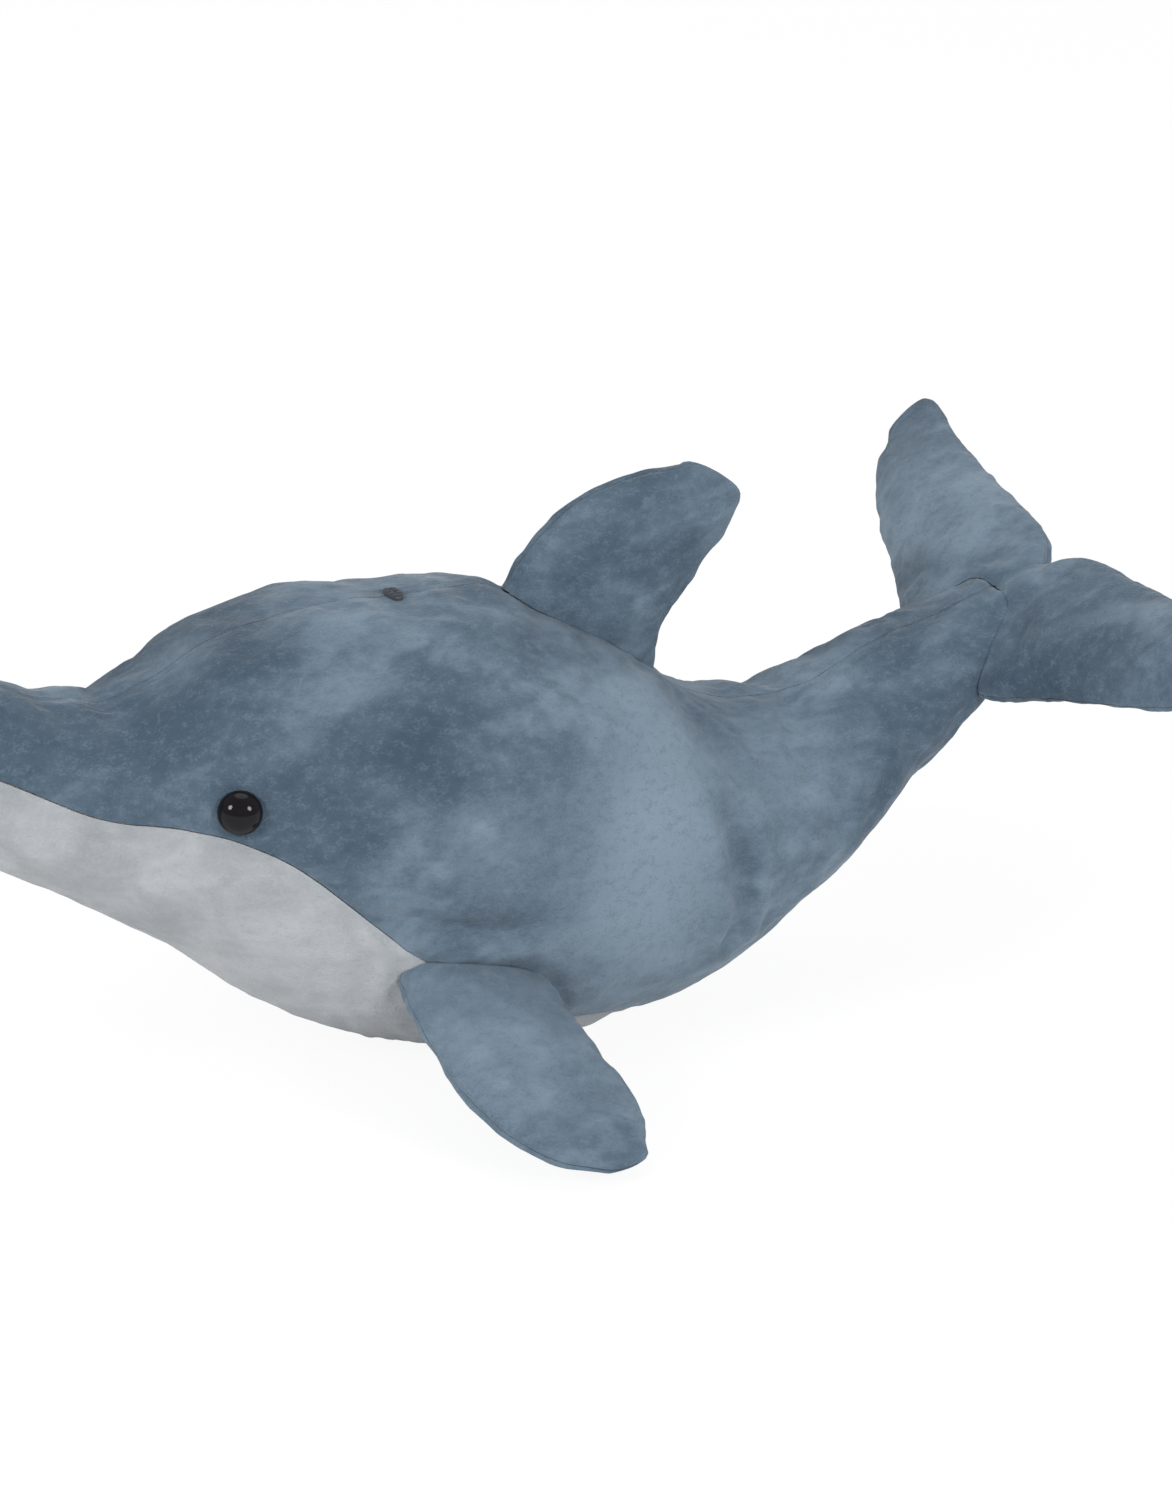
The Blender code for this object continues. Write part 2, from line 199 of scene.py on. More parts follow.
pile = {
    "clump": 0.25, "clumpSize": 4.6,
    "nap": 0.15, "napSize": 2.2,
    "stretch": 0.55,  # the pile is brushed towards the tail
}
# where a fold ends and fades out, and the lip beside it, in half widths and shares of its depth
foldForm = {"points": 60, "reach": 4, "fade": 3, "lip": 0.35, "lipAt": 2.2}
# folds in the skin, as lines of places and angles, with depth and half width
folds = {
    "flankFold": (((7.75, 56), (7.9, 76), (8.0, 100), (7.95, 118)), 2.6, 3.4),
    "tailFold": (((8.85, 0), (8.72, 38), (8.85, 72), (9.1, 96)), 1.7, 4.5),
    "browFold": (((2.5, -60), (2.62, -20), (2.62, 20), (2.66, 44), (2.85, 60)), 0.9, 5),
    "flipperFold": (((4.7, 101), (5.0, 103), (5.5, 104), (6.0, 105)), 2.2, 3.4),
    "stockFold": (((9.6, 30), (9.75, 60), (9.7, 96)), 1.1, 4),
}
eyes = {
    "place": 3.6, "angle": 68, "radius": 6, "height": 4.6, "sink": 0.9,
    "stemRadius": 1.8, "stemLength": 13,
    "dimpleDepth": 1.9, "dimpleReach": 13,
}
blowhole = {
    "place": 5.4, "width": 9, "length": 4.5, "height": 1.2, "sunk": 1.1, "bow": 0.5, "under": 0.3,
    "thread": 0.12, "threadPitch": 0.75, "slit": 0.5, "slitWidth": 0.5,
    "dipDepth": 2.4, "dipReach": 10, "dipStretch": (1.3, 0.8, 1),
}
# where the filling pushes out or leaves a hollow: place, angle, rise and reach
bumps = (
    (6.12, 0, 2.4, 9),  # up the front of the fin
    (4.8, -22, 1.2, 12),  # crown
    (5.6, -25, -2.6, 17),  # behind the blowhole
    (3.5, -20, -1.8, 18),
    (2.5, -10, 1.6, 9),  # foot of the forehead
    (9.65, -10, 2.0, 17),  # stock
    (6.6, 150, -1.2, 20),
)
eyeCentres = [bodyPoint(eyes["place"], side * eyes["angle"]) for side in (1, -1)]
blowCentre = bodyPoint(blowhole["place"], 0)
bumpCentres = [bodyPoint(*bump[:2]) for bump in bumps]


def foldLine(stations, side):
    stations = np.array(stations, float)
    fine = between(stations, np.linspace(0, len(stations) - 1, foldForm["points"]))
    return bodyForm(fine[:, 0], side * fine[:, 1])


foldTrees = []
for stations, depth, halfWidth in folds.values():
    lines = [foldLine(stations, 1), foldLine(stations, -1)]
    foldTrees.append((lines, depth, halfWidth))


def foldDepth(points):
    total = np.zeros(points.shape[:-1])
    flat = points.reshape(-1, 3)
    for lines, depth, halfWidth in foldTrees:
        for line in lines:
            reach = foldForm["reach"] * halfWidth
            near = np.all((flat > line.min(0) - reach) & (flat < line.max(0) + reach), axis=1)
            if not near.any():
                continue
            stops = line[::2]
            away = np.sqrt(((flat[near][:, None, :] - stops[None, :, :]) ** 2).sum(-1))
            nearest = away.argmin(1)
            away = away.min(1)
            ends = np.minimum(nearest, len(stops) - 1 - nearest) / (len(stops) / 2)
            fade = np.clip(ends * foldForm["fade"], 0, 1)
            dip = -depth * bell(away, halfWidth)
            lip = foldForm["lip"] * depth * bell(away - foldForm["lipAt"] * halfWidth, halfWidth)
            total.reshape(-1)[near] += fade * (dip + lip)
    return total


def rootDepth(points, roots):
    # the skin is pulled in where a fin, flipper or the flukes are sewn on
    total = np.zeros(points.shape[:-1])
    flat = points.reshape(-1, 3)
    reach, batch = stuffing["rootReach"], 4000  # a batch keeps the memory small
    for line in roots:
        near = np.where(np.all((flat > line.min(0) - reach) & (flat < line.max(0) + reach), axis=1))[0]
        for start in range(0, len(near), batch):
            part = near[start:start + batch]
            steps = flat[part][:, None, :] - line[None, :, :]
            away = np.sqrt((steps**2).sum(-1).min(1))
            total.reshape(-1)[part] -= stuffing["rootDepth"] * bell(away, stuffing["rootWidth"])
    return total


roots = []  # seam lines of the pieces sewn to the body, once they are known


def skinHeight(places, angles, points, detail, swell):
    # how far the sewn and stuffed skin stands off the plain form
    height = stuffing["lump"] * lumpNoise(points / stuffing["lumpSize"])
    high, wide = bodyRing(places, 0)[2:]
    radius = radiusAt(angles, high, wide)
    fromTop = np.abs((angles + 180) % 360 - 180)
    fromBack = radius * np.radians(fromTop)
    fromSeam = radius * np.abs(np.radians(fromTop - seamAngle(places)))
    slim = np.clip(wide / stuffing["slimBelow"], 0, 1)
    puckerSizes = np.array([stuffing["puckerSize"], stuffing["puckerLength"], stuffing["puckerLength"]])
    pull = puckerNoise(points / puckerSizes)
    for away, share in ((fromBack, stuffing["backShare"]), (fromSeam, 1)):
        height -= slim * share * stuffing["seamDepth"] * bell(away, stuffing["seamWidth"])
        height += slim * share * stuffing["pucker"] * pull * bell(away, stuffing["puckerReach"])
    height += foldDepth(points)
    for centre in eyeCentres:
        away = np.linalg.norm(points - centre, axis=-1)
        reach = np.clip((away - eyes["radius"]) / (eyes["dimpleReach"] - eyes["radius"]), 0, 1)
        height -= eyes["dimpleDepth"] * (1 - reach) ** 2
    away = np.linalg.norm((points - blowCentre) * np.array(blowhole["dipStretch"]), axis=-1)
    height -= blowhole["dipDepth"] * bell(away, blowhole["dipReach"])
    for centre, (place, angle, rise, reach) in zip(bumpCentres, bumps):
        height += rise * bell(np.linalg.norm(points - centre, axis=-1), reach)
    if roots:
        height += rootDepth(points, roots)
    height = pressedIn(height + swell)
    if detail:
        height += pileHeight(points)
    return height


def pressedIn(height):
    # a fold squashes the pile, and never reaches the filling
    deepest = stuffing["deepest"]
    return np.where(height < 0, -deepest * np.tanh(-height / deepest), height)


def pileHeight(points):
    # clumps and nap, brushed along the body
    brushed = points * np.array([pile["stretch"], 1, 1])
    height = pile["clump"] * clumpNoise(brushed / pile["clumpSize"])
    return height + pile["nap"] * napNoise(brushed / pile["napSize"] + 7)


def restOnGround(points, floor):
    # pressed flat where the form would go under, with a soft edge
    soft = stuffing["floorSoft"]
    z = points[..., 2] - floor
    pressed = soft * np.log1p(np.exp(np.clip(z / soft, -40, 40)))  # the clip keeps exp in range
    flat = np.where(z > 6 * soft, z, pressed)
    points[..., 2] = floor + flat
    return points


def skinPoints(places, angles, detail=False, swell=0):
    points = bodyForm(places, angles)
    height = skinHeight(places, angles, points, detail, swell)
    return restOnGround(points + bodyNormal(places, angles) * height[..., None], 0)


def resample(field, rowsAt, columnsAt):
    # a coarse grid of values read off at finer places
    return between(between(field, rowsAt).T, columnsAt).T


waiting = {}  # covers that are yet to be blown up, each with its form, normals and freedom to move
swollen = {}  # how far each point of a sheet ended from its form


def readyCloth(name, form, normals, free, held):
    # starts a little smaller than its form, apart from where free runs out to nothing
    start = form - normals * (swelling["smaller"] * free)[..., None]
    mesh = bpy.data.meshes.new(name)
    quads = sheetFaces(numbered(form))
    middle = form.shape[0] // 2, form.shape[1] // 2
    if sheetNormals(form)[middle] @ normals[middle] < 0:
        quads = quads[:, ::-1]
    mesh.from_pydata((start.reshape(-1, 3) * 0.001).tolist(), [], quads.tolist())
    cover = addObject(name, mesh)
    sewn = cover.vertex_groups.new(name="sewn")
    sewn.add(np.where(held.ravel())[0].tolist(), 1.0, "REPLACE")
    swell = cover.modifiers.new("swell", "CLOTH")
    settings = swell.settings
    settings.quality, settings.mass = swelling["quality"], swelling["mass"]
    settings.tension_stiffness = settings.compression_stiffness = swelling["stretch"]
    settings.shear_stiffness, settings.bending_stiffness = swelling["shear"], swelling["bend"]
    settings.use_pressure = True
    settings.uniform_pressure_force = swelling["pressure"]
    settings.shrink_min = -swelling["looser"]
    settings.vertex_group_mass = "sewn"
    settings.effector_weights.gravity = 0
    swell.point_cache.frame_start, swell.point_cache.frame_end = 1, swelling["frames"]
    waiting[name] = (cover, form, normals, free)


def blowUp():
    # runs all the waiting cloth at once, takes the result and removes the simulation
    scene = bpy.context.scene
    for number in range(1, swelling["frames"] + 1):
        scene.frame_set(number)
    graph = bpy.context.evaluated_depsgraph_get()
    for name, (cover, form, normals, free) in waiting.items():
        shape = cover.evaluated_get(graph).to_mesh()
        ended = np.empty(form.size, np.float32)
        shape.vertices.foreach_get("co", ended)
        move = ended.reshape(form.shape) * 1000 - form
        rise = (move * normals).sum(-1)
        level = (rise * free).sum() / free.sum()
        print("  %s rose %.2f mm, from %.2f to %.2f" % (name, level, rise.min(), rise.max()))
        rise -= level * free
        cap = np.where(rise < 0, swelling["inward"], swelling["outward"])
        swollen[name] = cap * np.tanh(rise / cap)
    for cover, form, normals, free in waiting.values():
        bpy.data.objects.remove(cover)
    waiting.clear()
    scene.frame_set(1)


def puffed(name, rowsAt, columnsAt):
    # how far the swelling lifts each point, nothing where the simulation was left out
    if name not in swollen:
        return 0
    return resample(swollen[name], rowsAt, columnsAt)


def numbered(sheet, first=0):
    return np.arange(sheet[..., 0].size).reshape(sheet.shape[:2]) + first


def sheetFaces(index, hole=None):
    # faces of a sheet, without those between two middle rows where hole is true
    quads = np.stack([index[:-1, :-1], index[:-1, 1:], index[1:, 1:], index[1:, :-1]], -1)
    keep = np.ones(quads.shape[:2], bool)
    if hole:
        hidden, row = hole
        keep[row - 1] = ~(hidden[:-1] & hidden[1:])
    return quads[keep]


def holeWalls(outerIndex, innerIndex, hidden, row, innerRow):
    # walls round the opening, from the outer to the inner sheet
    spots = np.where(hidden)[0]
    first, last = spots[0], spots[-1]
    ring = [(row - 1, c) for c in range(first, last + 1)] + [(row, c) for c in range(last, first - 1, -1)]
    innerRing = [(innerRow - 1 if r == row - 1 else innerRow, c) for r, c in ring]
    faces = []
    for k in range(len(ring)):
        a, b = ring[k], ring[(k + 1) % len(ring)]
        c, d = innerRing[(k + 1) % len(ring)], innerRing[k]
        faces.append((outerIndex[a], outerIndex[b], innerIndex[c], innerIndex[d]))
    return np.array(faces)


def zipRim(fine, coarse, flip):
    # triangles between a fine and a coarse edge
    faces = []
    j = 0
    for i in range(len(fine) - 1):
        aim = int(round((i + 1) * (len(coarse) - 1) / (len(fine) - 1)))
        faces.append((fine[i], coarse[j], fine[i + 1]))
        while j < aim:
            faces.append((fine[i + 1], coarse[j], coarse[j + 1]))
            j += 1
    return np.array([face[::-1] for face in faces] if flip else faces)


outerBand, innerBand = (0.16, 0.99), (0.01, 0.14)  # of the map that a shell's pattern is baked on


def sheetPlaces(sheet, band):
    # places of a sheet's points on that map
    rows, columns = sheet.shape[:2]
    v, u = np.meshgrid(np.linspace(*band, rows), np.linspace(0.01, 0.99, columns), indexing="ij")
    return np.stack([u, v], -1).reshape(-1, 2)


def sheetNormals(sheet):
    return unit(np.cross(np.gradient(sheet, axis=1), np.gradient(sheet, axis=0)))


def grid(name, outer, inner, material, slot, fill, node, opening=None):
    # closed shell between a fine outer and a coarser inner sheet of points, sewn at the rim
    outerIndex = numbered(outer)
    innerIndex = numbered(inner, outerIndex.size)
    if opening:
        hidden, row, innerRow = opening
        quads = [sheetFaces(outerIndex, (hidden, row)), sheetFaces(innerIndex, (hidden, innerRow))[:, ::-1]]
        quads.append(holeWalls(outerIndex, innerIndex, hidden, row, innerRow))
    else:
        quads = [sheetFaces(outerIndex), sheetFaces(innerIndex)[:, ::-1]]
    rims = (
        (outerIndex[0], innerIndex[0], False), (outerIndex[-1], innerIndex[-1], True),
        (outerIndex[:, 0], innerIndex[:, 0], True), (outerIndex[:, -1], innerIndex[:, -1], False),
    )
    threes = np.concatenate([zipRim(*rim) for rim in rims])
    points = [outer.reshape(-1, 3), inner.reshape(-1, 3)]
    normals = [sheetNormals(outer).reshape(-1, 3), 0 * inner.reshape(-1, 3)]
    places = np.concatenate([sheetPlaces(outer, outerBand), sheetPlaces(inner, innerBand)])
    mesh = meshFrom(name, np.concatenate(points) * 0.001, np.concatenate(quads), threes, places)
    mesh.normals_split_custom_set_from_vertices(np.concatenate(normals).tolist())
    return finishPiece(name, mesh, material, node)


def meshFrom(name, points, quads, threes, places):
    mesh = bpy.data.meshes.new(name)
    corners = np.concatenate([quads.ravel(), threes.ravel()]).astype(np.int32)
    starts = np.concatenate([np.arange(len(quads)) * 4, quads.size + np.arange(len(threes)) * 3])
    mesh.vertices.add(len(points))
    mesh.vertices.foreach_set("co", points.ravel())
    mesh.loops.add(len(corners))
    mesh.loops.foreach_set("vertex_index", corners)
    mesh.polygons.add(len(starts))
    mesh.polygons.foreach_set("loop_start", starts.astype(np.int32))
    mesh.update(calc_edges=True)
    mesh.shade_smooth()
    mesh.uv_layers.new(name="OFBake").data.foreach_set("uv", places[corners].ravel())
    return mesh


def finishPiece(name, mesh, material, node):
    piece = addObject(name, mesh)
    mesh.materials.append(material)
    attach(piece, "root")
    if node:
        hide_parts(node)
    return piece


# Materials

class Link:
    # wraps a socket, so that masks and values can be added and multiplied as plain sums
    def __init__(self, paint, socket):
        self.paint = paint
        self.socket = socket

    def out(self, name):
        return Link(self.paint, self.socket.node.outputs[name])

    def sum(self, operation, first, second):
        if self.socket.type == "VALUE":
            return self.paint.node("ShaderNodeMath", {"operation": operation}, {0: first, 1: second})
        first, second = ((v, v, v) if isinstance(v, (int, float)) else v for v in (first, second))
        return self.paint.node("ShaderNodeVectorMath", {"operation": operation}, {0: first, 1: second})

    def __add__(self, other):
        return self.sum("ADD", self, other)

    def __sub__(self, other):
        return self.sum("SUBTRACT", self, other)

    def __rsub__(self, other):
        return self.sum("SUBTRACT", other, self)

    def __mul__(self, other):
        return self.sum("MULTIPLY", self, other)

    __radd__ = __add__
    __rmul__ = __mul__


class Paint:
    # one material, or the world, and its nodes
    def __init__(self, name, world=None):
        self.material = world or bpy.data.materials.new(name)
        self.material.use_nodes = True
        self.nodes = self.material.node_tree.nodes
        self.links = self.material.node_tree.links
        self.shader = self.nodes["Background" if world else "Principled BSDF"]
        self.place = None if world else self.node("ShaderNodeTexCoord", out="Object")

    def node(self, kind, settings=None, sockets=None, out=0):
        made = self.nodes.new(kind)
        for name, value in (settings or {}).items():
            setattr(made, name, value)
        for key, value in (sockets or {}).items():
            if isinstance(value, Link):
                self.links.new(value.socket, made.inputs[key])
            else:
                made.inputs[key].default_value = value
        return Link(self, made.outputs[out])

    def noise(self, size, detail=2, roughness=0.5, place=None, distortion=0.0):
        # size of a patch in millimetres
        sockets = {"Vector": place or self.place, "Scale": 1000 / size, "Detail": detail}
        sockets.update({"Roughness": roughness, "Distortion": distortion})
        return self.node("ShaderNodeTexNoise", None, sockets, "Fac")

    def ramp(self, value, low, high):
        sockets = {"Value": value, "From Min": low, "From Max": high}
        return self.node("ShaderNodeMapRange", {"interpolation_type": "SMOOTHSTEP"}, sockets)

    def mix(self, mask, first, second):
        first, second = ((*c, 1) if isinstance(c, tuple) else c for c in (first, second))
        return self.node("ShaderNodeMix", {"data_type": "RGBA"}, {0: mask, 6: first, 7: second}, 2)

    def near(self, point, reach):
        # 1 at a point given in millimetres, fading to 0 at reach
        ends = {0: self.place, 1: tuple(c * 0.001 for c in point)}
        away = self.node("ShaderNodeVectorMath", {"operation": "DISTANCE"}, ends, "Value")
        return 1 - self.ramp(away, 0.0, reach * 0.001)

    def feed(self, **inputs):
        for name, value in inputs.items():
            socket = self.shader.inputs[name.replace("_", " ")]
            if isinstance(value, Link):
                self.links.new(value.socket, socket)
            else:
                socket.default_value = (*value, 1) if isinstance(value, tuple) and len(value) == 3 else value

    def showMix(self, mask, other):
        # the material's own shader where mask is 0, the other where it is 1
        own = Link(self, self.shader.outputs[0])
        mixed = self.node("ShaderNodeMixShader", None, {0: mask, 1: own, 2: other})
        output = next(node for node in self.nodes if node.type.startswith("OUTPUT"))
        self.links.new(mixed.socket, output.inputs["Surface"])

    def bump(self, height, depth, strength=1.0):
        sockets = {"Height": height, "Strength": strength, "Distance": depth * 0.001}
        self.feed(Normal=self.node("ShaderNodeBump", None, sockets))


def srgb(*values):
    # colour as read off a screen, 0 to 255, turned into what the nodes take
    shares = [v / 255 for v in values]
    return tuple(s / 12.92 if s <= 0.04045 else ((s + 0.055) / 1.055) ** 2.4 for s in shares)


bluePlush = {
    "plain": srgb(94, 112, 128), "dark": srgb(63, 80, 96), "light": srgb(137, 155, 171),
    "rough": 0.92, "sheen": 0.35, "sheenRough": 0.45, "sheenTint": srgb(215, 222, 226),
}
whitePlush = {
    "plain": srgb(168, 172, 176), "dark": srgb(148, 152, 157), "light": srgb(190, 194, 198),
    "rough": 0.94, "sheen": 0.25, "sheenRough": 0.5, "sheenTint": srgb(240, 242, 245),
}


# what both plushes share: sizes in millimetres, and how far the colour goes to light and dark
plushGrain = {
    "brushed": (0.65, 1.0, 1.0), "patches": 30, "clumps": 9, "tufts": 2.4, "fibres": 0.55,
    "patchShare": 0.6, "fineLight": 0.22, "fineDark": 0.26, "gloss": 0.12,
}


def makePlush(name, look, zones):
    # brushed patches, clumps of pile, small locks and single fibres, from large to small
    paint = Paint(name)
    brushed = paint.place * plushGrain["brushed"]
    patches = paint.noise(plushGrain["patches"], 2, 0.5, brushed, 0.6)
    clumps = paint.noise(plushGrain["clumps"], 2, 0.55, brushed, 0.5)
    tufts = paint.noise(plushGrain["tufts"], 2, 0.6, brushed)
    fibres = paint.noise(plushGrain["fibres"], 1, 0.6, brushed)
    shade = patches * 0.6 + clumps * 0.4
    patchShare = plushGrain["patchShare"]
    colour = paint.mix(paint.ramp(shade, 0.47, 0.66) * patchShare, look["plain"], look["light"])
    colour = paint.mix((1 - paint.ramp(shade, 0.34, 0.53)) * patchShare, colour, look["dark"])
    # zones tint pools of pile tone, and some of them paint shade and light into the colour
    for point, reach, share, tone in zones:
        colour = paint.mix(paint.near(point, reach) * share, colour, look[tone])
    fine = tufts * 0.55 + fibres * 0.45
    colour = paint.mix(paint.ramp(fine, 0.48, 0.68) * plushGrain["fineLight"], colour, look["light"])
    colour = paint.mix((1 - paint.ramp(fine, 0.32, 0.52)) * plushGrain["fineDark"], colour, look["dark"])
    paint.feed(Base_Color=colour, Roughness=look["rough"])
    paint.feed(Sheen_Weight=look["sheen"], Sheen_Roughness=look["sheenRough"], Sheen_Tint=look["sheenTint"])
    paint.feed(Specular_IOR_Level=plushGrain["gloss"])
    paint.bump(clumps * 0.35 + tufts * 0.35 + fibres * 0.3, 1.0, 0.75)
    return paint.material


def bothSides(point, reach, share, tone):
    x, y, z = point
    return [((x, side * y, z), reach, share, tone) for side in ((1, -1) if y else (1,))]


# pools of darker and lighter pile, partly the plush's own tone and partly painted shade and light where
# marked, by middle in millimetres, reach and share
# painted shade on the left lobe and painted light on the right lobe
flukeShadeAndLight = [((150, -40, 92), 44, 0.9, "dark"), ((150, 56, 112), 60, 0.45, "light")]
blueToneAndPaintedShading = (
    ((-112, -20, 106), 32, 0.8, "dark"),  # brow
    ((-150, -14, 100), 36, 0.5, "dark"),  # beak
    ((-71, -46, 89), 38, 0.7, "dark"),  # cheek
    ((-44, -43, 106), 32, 0.6, "dark"),  # neck
    ((-84, -14, 120), 36, 0.8, "dark"),  # crown
    ((-3, 0, 130), 15, 0.5, "dark"),  # painted shade at the foot of the fin
    ((12, 0, 124), 17, 0.7, "dark"),
    ((28, 0, 114), 11, 0.7, "dark"),
    ((121, -8, 92), 28, 0.5, "dark"),  # stock
    ((26, -47, 72), 50, 1.0, "light"),  # flank
    ((22, -50, 42), 44, 0.8, "light"),
    ((72, -30, 72), 34, 0.4, "light"),  # waist
    ((28, -31, 97), 24, 0.6, "light"),  # behind the fin
    ((-23, -54, 72), 26, 0.4, "light"),  # shoulder
    ((-36, -76, 26), 48, 0.5, "light"),  # flipper
    ((-100, 0, 122), 20, 0.4, "light"),  # painted highlight along the top of the forehead
    ((-36, 0, 128), 9, 0.6, "dark"),  # painted shade in the dip round the blowhole
    ((50, -42, 72), 13, 0.5, "dark"),  # painted shade in the flank's fold
    ((52, -44, 56), 13, 0.5, "dark"),
)
blueZones = flukeShadeAndLight + [zone for pool in blueToneAndPaintedShading for zone in bothSides(*pool)]
bluePile = makePlush("blue plush", bluePlush, blueZones)
whitePile = makePlush("white plush", whitePlush, bothSides((-62, -30, 30), 60, 0.6, "light"))


def makeFibre():
    paint = Paint("polyester filling")
    wisps = paint.noise(9, 4, 0.6, None, 1.2)
    strands = paint.noise(1.6, 2, 0.7, None, 2.0)
    colour = paint.mix(paint.ramp(wisps, 0.35, 0.65), srgb(226, 226, 222), srgb(246, 246, 243))
    paint.feed(Base_Color=colour, Roughness=0.95, Sheen_Weight=0.3, Specular_IOR_Level=0.1)
    paint.bump(wisps * 0.6 + strands * 0.4, 1.5, 0.9)
    return paint.material


def makeEyeGloss():
    paint = Paint("polished black eye")
    cloud = paint.noise(3.5, 2)
    scuffs = paint.noise(0.7, 3, 0.7)
    colour = paint.mix(cloud, srgb(12, 10, 13), srgb(22, 18, 24))
    paint.feed(Base_Color=colour, Roughness=paint.ramp(scuffs, 0.3, 0.8) * 0.05 + 0.06)
    paint.feed(Specular_IOR_Level=0.24)
    paint.bump(scuffs, 0.02, 0.15)
    return paint.material


def makeWasher():
    paint = Paint("washer plastic")
    grain = paint.noise(0.8, 3, 0.6)
    colour = paint.mix(grain, srgb(208, 208, 204), srgb(228, 228, 224))
    paint.feed(Base_Color=colour, Roughness=paint.ramp(grain, 0.2, 0.8) * 0.15 + 0.4)
    paint.bump(grain, 0.05, 0.3)
    return paint.material


def makeThread():
    paint = Paint("embroidery thread")
    place = paint.place * 1000.0
    stitches = paint.node("ShaderNodeTexWave", {"wave_type": "BANDS", "bands_direction": "Y"},
                          {"Vector": place, "Scale": 0.7, "Distortion": 1.2, "Detail": 2.0}, "Fac")
    strands = paint.noise(0.35, 2, 0.6)
    colour = paint.mix(stitches * 0.6 + strands * 0.4, srgb(28, 36, 46), srgb(54, 65, 78))
    paint.feed(Base_Color=colour, Roughness=0.75, Sheen_Weight=0.2)
    paint.bump(stitches * 0.7 + strands * 0.3, 0.4, 0.8)
    return paint.material


fibreFill = makeFibre()
eyeGloss = makeEyeGloss()
washerPlastic = makeWasher()
darkThread = makeThread()
print("materials made")

# Fin, flippers and flukes: outline rows of how far out, in hundredths, leading and trailing
# edge along the chord, and thickness

dorsalFin = {
    "front": 6.22, "rear": 7.64, "length": 56,
    "outline": ((-18, 30, -28, 17), (0, 29, -26, 18), (21.4, 29, -21, 18), (53.6, 24, -22.5, 16),
                (78.6, 13, -23.5, 13), (92.9, 2, -22, 9), (100, -6, -17, 4)),
}
flipper = {
    "place": 5.5, "angle": 122, "sweep": 20, "droop": 25, "length": 69,
    "outline": ((-28, 14.5, -22.5, 15), (0, 22.5, -22, 16), (20, 26.5, -21, 16), (42.9, 28.5, -19, 15),
                (68.6, 26.5, -17.5, 12), (85.7, 20, -14, 9), (95.7, 11, -8, 5), (100, 3, -4, 3)),
}
flukes = {
    "pitch": 40, "length": 103, "rightBow": 1.4, "innerRows": 18,
    "outline": ((0, 18, -23.5, 17), (8.7, 19, -31, 17), (21.4, 16.5, -35, 16), (46.6, 4, -38, 14),
                (69.9, -6, -40.5, 12), (87.4, -16.5, -44, 9), (96.1, -26, -45, 6), (100, -32, -41, 4)),
}
blade = {
    "edgeDepth": 0.75, "edgeWidth": 1.9, "rootPinch": 0.3, "rootReach": 5,
    "lump": 0.45, "lumpSize": 17, "pucker": 0.15, "puckerSize": 5.5, "puckerReach": 8,
    "ridgeAt": 3.6, "ridgeDepth": 0.2, "ridgeWidth": 0.9,
    "plumpFrom": 3.5, "tipFade": 4,  # half thickness and distance from the tip with full pile
    "tipReach": 0.8,  # how far the round end goes past the outline's last row
    "softKnee": 1.9,  # how far to each side the start of the tip is evened out
    "cell": 3.2, "around": 58,  # of the cloth
    "innerColumns": 17, "innerRows": 20, "outerGap": 0.1, "innerGap": 0.6, "fill": 0.8,
}
rootTurns = np.linspace(0, math.pi, 33)  # where the way to the body is worked out, edge to edge


def bladeFrame(origin, out, chord, normal, bow=0):
    return [np.array(v, float) for v in (origin, out, chord, normal, bow)]


def finFrame():
    front, rear = bodyPoint(dorsalFin["front"], 0), bodyPoint(dorsalFin["rear"], 0)
    chord = unit(front - rear)
    return bladeFrame((front + rear) / 2, np.cross(chord, leftward), chord, leftward)


def flipperFrame(side):
    # side is 1 on the left and -1 on the right
    root = bodyPoint(flipper["place"], flipper["angle"])
    sweep, droop = math.radians(flipper["sweep"]), math.radians(flipper["droop"])
    level = math.cos(droop)
    out = np.array([level * math.sin(sweep), -level * math.cos(sweep), -math.sin(droop)])
    normal = unit(np.array([0, 0, 1.0]) - out * out[2])
    chord = np.cross(out, normal)
    return bladeFrame(*(v * np.array([1, side, 1]) for v in (root, out, chord, normal)))


def flukeFrame(side):
    pitch = math.radians(flukes["pitch"])
    chord = (-math.cos(pitch), 0, -math.sin(pitch))
    normal = (-math.sin(pitch), 0, math.cos(pitch))
    bow = flukes["rightBow"] if side < 0 else 0
    return bladeFrame(sectionAt(np.array(float(lastPlace)))[0], leftward * side, chord, normal, bow)


def bladeSizes(shape, spans):
    # middle, half chord and half thickness at each distance out, with no corner where the tip starts
    reach = np.clip((shape["length"] + blade["tipReach"] - spans) / 2, 0, blade["softKnee"])
    sizes = [tipSizes(shape, spans + share * reach) for share in (-1, -0.5, 0, 0.5, 1)]
    return [sum(part) / len(sizes) for part in zip(*sizes)]


def tipSizes(shape, spans):
    # rounded off past the last row but one
    rows, length = shape["outline"], shape["length"]
    last = rows[-2][0] * length / 100
    table = between(rows, rowPlaces(rows, np.minimum(spans, last) * 100 / length))
    beyond = np.clip((spans - last) / (length + blade["tipReach"] - last), 0, 1)
    close = np.sqrt(np.maximum(1 - beyond**2, 0))
    lead, trail, thick = table[..., 1], table[..., 2], table[..., 3]
    tipMiddle = (rows[-1][1] + rows[-1][2]) / 2
    middle = (lead + trail) / 2
    return middle + (tipMiddle - middle) * beyond, (lead - trail) / 2 * close, thick / 2 * close


